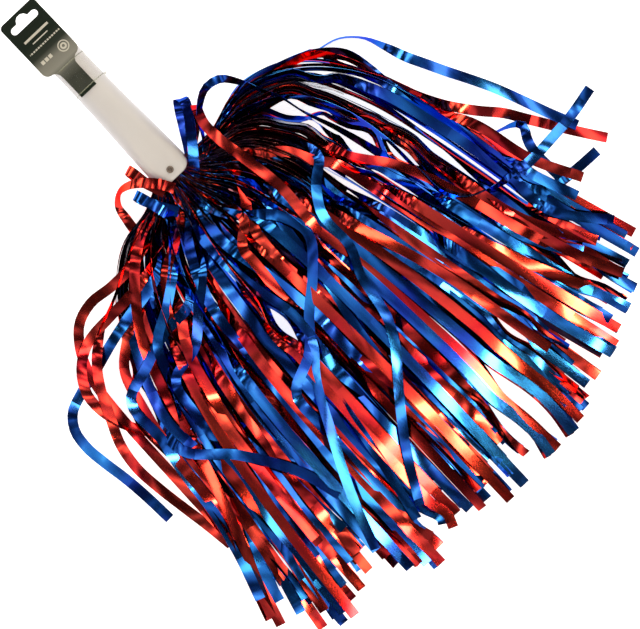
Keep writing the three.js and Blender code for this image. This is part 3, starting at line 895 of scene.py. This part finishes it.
def tube_ring(x, inset):
    """One ring of the tube, round or pressed by its place, with its front drawn back at the corners."""
    pressed = float(ease(x, -press_from, -press_to))
    widened = float(ease(x, -widen_from, -press_to / 2))
    ring = []
    for side in range(tube_sides):
        angle = 2 * math.pi * side / tube_sides
        c, s = math.cos(angle), math.sin(angle)
        straight = mouth_half - mouth_flat
        oval_y = straight * math.tanh(flattening * c) / math.tanh(flattening) + (mouth_flat - inset) * c
        oval_z = (mouth_flat - inset) * math.copysign(abs(s) ** oval_fullness, s)
        y = (tube_radius - inset) * c * (1 - widened) + oval_y * widened
        z = (tube_radius - inset) * s * (1 - pressed) + oval_z * pressed
        corner = max(0.0, abs(y) - (mouth_half - mouth_corner))
        back = mouth_corner - math.sqrt(max(mouth_corner ** 2 - corner ** 2, 0.0))
        from_crease = abs(y) - crease_starts - crease_spreads * pressed
        crease = crease_depth * pressed * math.exp(-(from_crease / crease_width) ** 2)
        front = x - back * float(ease(x, -corners_cut_from, 0))
        ring.append((front, y, axis_height + z * (1 - crease / 9)))
    return ring


def tube_faces(rings):
    """Quads between neighbouring rings: along the outside, round the mouth's edge and back inside."""
    faces = []
    for ring in range(len(rings)):
        after = (ring + 1) % len(rings)
        for side in range(tube_sides):
            beside = (side + 1) % tube_sides
            faces.append((
                ring * tube_sides + side, after * tube_sides + side,
                after * tube_sides + beside, ring * tube_sides + beside,
            ))
    return faces


# Rings stand far apart along the round part of the tube, and close together where it is pressed.
outer_places = [*np.linspace(-tube_length, -press_from, 12), *np.linspace(-36, -0.25, 26)]
rings = [tube_ring(x, 0.0) for x in outer_places]
rings.append(tube_ring(0.0, edge_round))
rings.append(tube_ring(0.0, tube_wall - edge_round))
rings += [tube_ring(x, tube_wall) for x in outer_places[::-1]]


def plastic_look(paint):
    grain = paint.noise(900.0, detail=2.0)
    cloud = paint.noise(45.0, (0.25, 1.0, 1.0), 3.0)
    draw_lines = paint.noise(700.0, (0.02, 1.0, 1.0), 2.0)
    return {
        "Base Color": paint.colours(cloud, handle_shade, handle_white),
        "Roughness": 0.34 + 0.12 * cloud,
        "Coat Weight": 0.08,
        "Coat Roughness": 0.2,
        "Normal": paint.bump(draw_lines * 0.7 + grain * 0.3, 0.08, 0.0003),
    }


white_plastic = finish_coat("white_plastic", plastic_look)
tube_corners = [corner for ring in rings for corner in ring]
tube = solid("handle_shell", tube_corners, tube_faces(rings), white_plastic)
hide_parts("handle_tube")
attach(tube, "handle")


# Rivet.
# One hollow eyelet of dull nickelled steel. It is pressed through both flats of the mouth and the film
# between them, and its far end is rolled over to a second head.
rivet_low, rivet_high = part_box("rivet")
rivet_middle = ((np.array(rivet_low) + np.array(rivet_high)) / 2 - mouth) / MM
rivet_top = (rivet_high.z - rivet_low.z) / 2 / MM
rivet_head = (rivet_high.x - rivet_low.x) / 2 / MM
rivet_turns = 48
nickel = (0.30, 0.25, 0.22)
tarnished = (0.16, 0.13, 0.115)

# Half of its section, from the middle of the bore out and round the head: radius, then height.
half_profile = [
    (0.02, rivet_top - 0.75), (0.7, rivet_top - 0.75), (1.0, rivet_top - 0.45), (1.15, rivet_top - 0.1),
    (1.5, rivet_top), (1.9, rivet_top - 0.1), (rivet_head, rivet_top - 0.42),
    (rivet_head - 0.05, rivet_top - 0.75), (1.3, rivet_top - 0.8),
]
profile = half_profile + [(radius, -height) for radius, height in half_profile[::-1]]
corners = []
for radius, height in profile:
    for turn in range(rivet_turns):
        angle = 2 * math.pi * turn / rivet_turns
        spoke = np.array([radius * math.cos(angle), radius * math.sin(angle), height])
        corners.append(rivet_middle + spoke)
faces = [tuple(range(rivet_turns))]
for ring in range(len(profile) - 1):
    here = ring * rivet_turns
    after = here + rivet_turns
    for turn in range(rivet_turns):
        beside = (turn + 1) % rivet_turns
        faces.append((here + turn, after + turn, after + beside, here + beside))
faces.append(tuple(reversed(range((len(profile) - 1) * rivet_turns, len(profile) * rivet_turns))))


def nickel_look(paint):
    tarnish = paint.noise(900.0, detail=4.0)
    return {
        "Base Color": paint.colours(tarnish, nickel, tarnished),
        "Metallic": 0.85,
        "Roughness": 0.28 + 0.2 * tarnish,
        "Normal": paint.bump(tarnish, 0.1, 0.0002),
    }


rivet = solid("rivet_eyelet", corners, faces, finish_coat("nickel", nickel_look))
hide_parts("rivet")
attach(rivet, "handle")


# Film root.
# The uncut edge of the film sheets, from which all the strips hang. It is rolled up and pressed to a
# flat pack inside the mouth, and the rivet goes through it.
root_blue = (0.02, 0.03, 0.09)
root_red = (0.09, 0.01, 0.012)


def root_look(paint):
    layers = paint.noise(2500.0, (0.05, 0.05, 1.0), 2.0)
    return {
        "Base Color": paint.colours(layers, root_blue, root_red),
        "Metallic": 1.0,
        "Roughness": 0.2 + 0.2 * layers,
        "Normal": paint.bump(layers, 0.3, 0.0003),
    }


root_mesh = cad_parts["film_root"].data
root_mesh.materials.clear()
root_mesh.materials.append(finish_coat("film_pack", root_look))


# Hang tag.
# A printed card, dark green and varnished, with a hang slot. Its tail lies along the handle under
# the tape. The card is left flat, cut into narrow rows where it would flex as it leaves the handle's butt.
header_low, header_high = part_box("hang_tag_header")
tail_low, tail_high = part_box("hang_tag_tail")
tag_x = (header_low.x - mouth[0]) / MM
tail_x = (tail_high.x - mouth[0]) / MM
tag_y = ((header_low.y + header_high.y) / 2 - mouth[1]) / MM
tag_half = (header_high.y - header_low.y) / 2 / MM
tag_bottom = header_low.z / MM
tag_thickness = (header_high.z - header_low.z) / MM
tail_half = 6.1
tag_corner = 3.0
shoulder_x = -100.5
shoulder_corner = 4.5
slot_x = tag_x + 7.8
slot_half = 10.35
slot_radius = 2.4
flexes_between = (-112, -96)
glare_from = -118
glare_over = 33
card_dark = (0.004, 0.010, 0.006)
card_fibre = (0.009, 0.017, 0.012)
# Painted reflection: the colour of the pale glare band painted into the card's base colour.
card_glare = (0.38, 0.385, 0.36)
print_colour = (0.62, 0.62, 0.58)
print_strength = 0.85


def arc(x, y, radius, start, end, steps=8):
    """Points on a round corner, from its middle, radius and angles."""
    angles = np.radians(np.linspace(start, end, steps))
    return [(x + radius * math.cos(a), y + radius * math.sin(a)) for a in angles]


# The card's outline, in millimetres from the mouth: the tail, its flare, the shoulder, the far corner.
upper_edge = [(tail_x, tail_half), (-90, tail_half)]
upper_edge += [(-92.5, tail_half + 0.2), (-94.5, tail_half + 1.2), (-95.8, tail_half + 3.0)]
upper_edge += arc(shoulder_x, tag_half - shoulder_corner, shoulder_corner, 8, 90)
upper_edge += arc(tag_x + tag_corner, tag_half - tag_corner, tag_corner, 90, 180)
card_outline = upper_edge + [(x, -y) for x, y in upper_edge[::-1]]

# The hang slot: two round ends, and a hump at its outer side.
slot_outline = arc(slot_x, slot_half - slot_radius, slot_radius, 0, 180)
slot_outline += [(slot_x - slot_radius, 4.5), (slot_x - 4.4, 3.2), (slot_x - 5.5, 1.4), (slot_x - 5.5, -1.4)]
slot_outline += [(slot_x - 4.4, -3.2), (slot_x - slot_radius, -4.5)]
slot_outline += arc(slot_x, slot_radius - slot_half, slot_radius, 180, 360)

drawing = bpy.data.curves.new("card_cut", "CURVE")
drawing.dimensions = "2D"
drawing.fill_mode = "BOTH"
drawing.extrude = tag_thickness / 2 * MM
for outline in (card_outline, slot_outline):
    spline = drawing.splines.new("POLY")
    spline.points.add(len(outline) - 1)
    spline.use_cyclic_u = True
    for point, (x, y) in zip(spline.points, outline):
        point.co = (mouth[0] + x * MM, mouth[1] + (y + tag_y) * MM, 0, 1)
cut = put("card_cut", drawing)
bpy.context.view_layer.update()
card_mesh = bpy.data.meshes.new_from_object(cut.evaluated_get(bpy.context.evaluated_depsgraph_get()))
bpy.data.objects.remove(cut)

# The card is cut across into narrow rows where it would flex; nothing here bends it.
card_shape = bmesh.new()
card_shape.from_mesh(card_mesh)
bmesh.ops.remove_doubles(card_shape, verts=card_shape.verts, dist=1e-6)
for x in np.linspace(*flexes_between, 17):
    bmesh.ops.bisect_plane(
        card_shape, geom=card_shape.verts[:] + card_shape.edges[:] + card_shape.faces[:],
        plane_co=(mouth[0] + x * MM, 0, 0), plane_no=(1, 0, 0),
    )
bmesh.ops.translate(card_shape, verts=card_shape.verts, vec=(0, 0, (tag_bottom + tag_thickness / 2) * MM))
bmesh.ops.recalc_face_normals(card_shape, faces=card_shape.faces)
card_shape.to_mesh(card_mesh)
card_shape.free()


def card_look(paint):
    """Dark card with plain bars, dashes and rings printed on it, and a painted glare: a pale band across its
    middle.
    """
    x = paint.along("X")
    y = paint.along("Y")

    def bar(middle, start, end, width):
        return (abs(x - middle) < width / 2) * (y > start) * (y < end)

    def dashes(closeness, share):
        return paint.maths("SINE", y * closeness) > share

    from_ring = paint.maths("SQRT", (x + 104.4) * (x + 104.4) + (y - 4.8) * (y - 4.8))
    rings = (abs(from_ring - 3.3) < 0.35) + (abs(from_ring - 1.5) < 0.55)
    bars = bar(-121.2, -11.5, 7.5, 1.5) + bar(-117.6, -8, 4, 0.7)
    fine_dashes = bar(-113.6, -14, 10, 1.0) * dashes(3.4, -0.55)
    broad_dashes = bar(-105.2, -13, -4, 2.4) * dashes(2.1, -0.7)
    printed = bars + fine_dashes + broad_dashes + rings
    # Painted reflection: a pale band in the base colour where the card leaves the handle's butt.
    glare = paint.node("ShaderNodeValToRGB", {"stops": [
        (0.0, (0, 0, 0)), (0.26, (0.04, 0.04, 0.04)), (0.45, (0.50, 0.50, 0.50)), (0.62, (0.62, 0.62, 0.62)),
        (0.78, (0.14, 0.14, 0.14)), (0.95, (0, 0, 0)),
    ]}, {"Fac": (x - glare_from) / glare_over}, "Color")
    fibre = paint.noise(1400.0, detail=3.0)
    ground = paint.colours(fibre, card_dark, card_fibre)
    ground_with_painted_glare = paint.colours(glare, ground, card_glare)
    return {
        "Base Color": paint.colours(printed * print_strength, ground_with_painted_glare, print_colour),
        "Roughness": 0.42 + 0.12 * fibre,
        "Specular IOR Level": 0.14,
        "Normal": paint.bump(fibre, 0.08, 0.0002),
    }


card_mesh.materials.clear()
card_mesh.materials.append(finish_coat("printed_card", card_look))
card = put("hang_tag_card", card_mesh)
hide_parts("hang_tag_header", "hang_tag_tail")
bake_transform(card)


# Tape.
# A band of clear polypropylene tape round the handle and the tag's tail. Its cut ends are stuck
# to each other in a small fin, and its edges show as faint greenish lines.
tape_low, tape_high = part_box("tape_band")
tape_from = (tape_low.x - mouth[0]) / MM
tape_to = (tape_high.x - mouth[0]) / MM
tape_thickness = 0.12
tape_radius = (tape_high.y - tape_low.y) / 2 / MM - tape_thickness
tape_top = tape_high.z / MM - tape_thickness
tape_step = 0.75
cut_waviness = 0.18
cut_edge_width = 0.55
tape_clear = (0.74, 0.74, 0.68)
tape_edge = (0.42, 0.46, 0.36)


def tape_line(grow):
    """The band's section: round the tube, then straight up to the tail's edges and flat over it."""
    angles = np.linspace(0, 2 * math.pi, 97)[:-1]
    around = [Vector((math.cos(a), math.sin(a))) * (tape_radius + grow) for a in angles]
    edge = tail_half + 0.3 + grow
    height = tape_top + grow - axis_height
    around += [Vector((tag_y - edge, height)), Vector((tag_y + edge, height))]
    hull = convex_hull_2d(around)
    ring = np.array([around[i] for i in hull])
    start = int(np.argmax(ring[:, 0]))
    ring = np.roll(ring, -start, axis=0)
    if ring[1][1] < ring[0][1]:
        ring = np.roll(ring[::-1], 1, axis=0)
    return evenly(np.vstack([ring, ring[:1]]), tape_step)[:-1]


inside = tape_line(0.0)
outside = tape_line(tape_thickness)
tape_sides = min(len(inside), len(outside))
outside = outside[np.round(np.linspace(0, len(outside) - 1, tape_sides)).astype(int)]
inside = inside[np.round(np.linspace(0, len(inside) - 1, tape_sides)).astype(int)]
stations = np.linspace(tape_from, tape_to, 14)
corners = []
for line, places in ((outside, stations), (inside, stations[::-1])):
    for x in places:
        at_cut = x in (tape_from, tape_to)
        for k, (y, z) in enumerate(line):
            wave = cut_waviness * math.sin(k * 1.9) * at_cut
            corners.append((x + wave, y, axis_height + z))
rows = 2 * len(stations)
faces = []
for row in range(rows):
    here = row * tape_sides
    after = (row + 1) % rows * tape_sides
    for k in range(tape_sides):
        beside = (k + 1) % tape_sides
        faces.append((here + k, here + beside, after + beside, after + k))


def tape_look(paint):
    from_middle = abs(paint.along("X") - (tape_from + tape_to) / 2)
    edge = from_middle > (tape_to - tape_from) / 2 - cut_edge_width
    smudge = paint.noise(120.0, detail=4.0)
    return {
        "Base Color": paint.colours(edge, tape_clear, tape_edge),
        "Roughness": 0.10 + 0.15 * smudge,
        "Alpha": 0.012 + 0.03 * smudge + 0.34 * edge,
        "Normal": paint.bump(smudge, 0.03, 0.0003),
    }


clear_tape = finish_coat("clear_tape", tape_look)
tape = solid("tape_wrap", corners, faces, clear_tape)
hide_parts("tape_band")
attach(tape, "handle")

# The fin: the two cut ends pressed together, standing out in a low arch beside the tube.
fin_back = 3.4
fin_front = 1.2
fin_reach = 1.9
fin_rows = 8
fin_corners = []
for x in np.linspace(tape_to - fin_back, tape_to + fin_front, fin_rows):
    bulge = math.sin(math.pi * (x - tape_to + fin_back) / (fin_back + fin_front))
    root_y = tape_radius - 0.2
    rim_y = tape_radius + fin_reach * bulge + 0.2
    for y, z in ((root_y, 0.9), (rim_y, 0.55), (rim_y, 0.35), (root_y, 0.0)):
        fin_corners.append((x, y, axis_height + z))
last = 4 * fin_rows - 1
fin_faces = [(0, 1, 2, 3), (last, last - 1, last - 2, last - 3)]
for row in range(fin_rows - 1):
    here = row * 4
    for k in range(4):
        beside = (k + 1) % 4
        fin_faces.append((here + k, here + 4 + k, here + 4 + beside, here + beside))
fin = solid("tape_fin", fin_corners, fin_faces, clear_tape)
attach(fin, "handle")


# Floor and light.
# A pale board that glows like a light table, so that shadows on it stay faint. Four warm soft boxes
# light the film, and it mirrors a cool room with a few bright panels.
floor_half = 4
floor_corners = [(x * floor_half, y * floor_half, 0) for x, y in ((-1, -1), (1, -1), (1, 1), (-1, 1))]
lamp_colour = (1.0, 0.84, 0.54)
backdrop = (0.9, 0.9, 0.9)
floor_mesh = bpy.data.meshes.new("floor")
floor_mesh.from_pydata(floor_corners, [], [(0, 1, 2, 3)])
floor = put("floor", floor_mesh)
floor_mesh.materials.append(finish_coat("floor_paint", lambda paint: {
    "Base Color": (0.80, 0.82, 0.86),
    "Roughness": 0.8,
    "Emission Color": (0.97, 0.98, 1.0),
    "Emission Strength": 0.88,
}))

focus = Vector(mouth) + Vector((0.11, 0.01, 0.02))


def soft_box(name, bearing, lean, distance, size, radiance):
    """A rectangular lamp: bearing round from the handle's line and lean from overhead, in degrees."""
    lamp = bpy.data.lights.new(name, "AREA")
    lamp.shape = "RECTANGLE"
    lamp.size, lamp.size_y = size
    lamp.energy = radiance * math.pi * size[0] * size[1]
    lamp.color = lamp_colour
    box = put(name, lamp)
    b, a = math.radians(bearing), math.radians(lean)
    way = Vector((math.cos(b) * math.sin(a), math.sin(b) * math.sin(a), math.cos(a)))
    box.location = focus + way * distance
    box.rotation_euler = way.to_track_quat("Z", "Y").to_euler()
    box.visible_camera = False


soft_box("tips_box", 0, 30, 1.7, (0.7, 0.11), 34.0)
soft_box("left_box", 90, 38, 1.7, (0.8, 0.16), 8.5)
soft_box("right_box", -90, 42, 1.7, (0.8, 0.16), 8.5)
soft_box("handle_box", 118, 54, 1.8, (0.9, 0.4), 5.0)

world = bpy.data.worlds.new("studio")
bpy.context.scene.world = world
world.use_nodes = True
world.node_tree.nodes.clear()
air = Paint(world.node_tree)
seen = air.node("ShaderNodeLightPath", output="Is Camera Ray")
way = air.node("ShaderNodeTexCoord", output="Generated")
panels = air.node("ShaderNodeTexNoise", {}, {"Vector": way, "Scale": 5.5, "Detail": 1.0})
room = air.node("ShaderNodeValToRGB", {"stops": [
    (0.0, (0.012, 0.014, 0.020)), (0.43, (0.030, 0.033, 0.046)), (0.50, (0.14, 0.15, 0.20)),
    (0.57, (0.80, 0.81, 0.96)), (0.63, (1.10, 1.06, 1.10)), (0.67, (4.6, 4.0, 2.8)),
]}, {"Fac": panels}, "Color")
brightness = air.colours(seen, room, backdrop)
background = air.node("ShaderNodeBackground", {}, {"Color": brightness})
air.node("ShaderNodeOutputWorld", {}, {"Surface": background})
bpy.context.scene.view_settings.view_transform = "Standard"
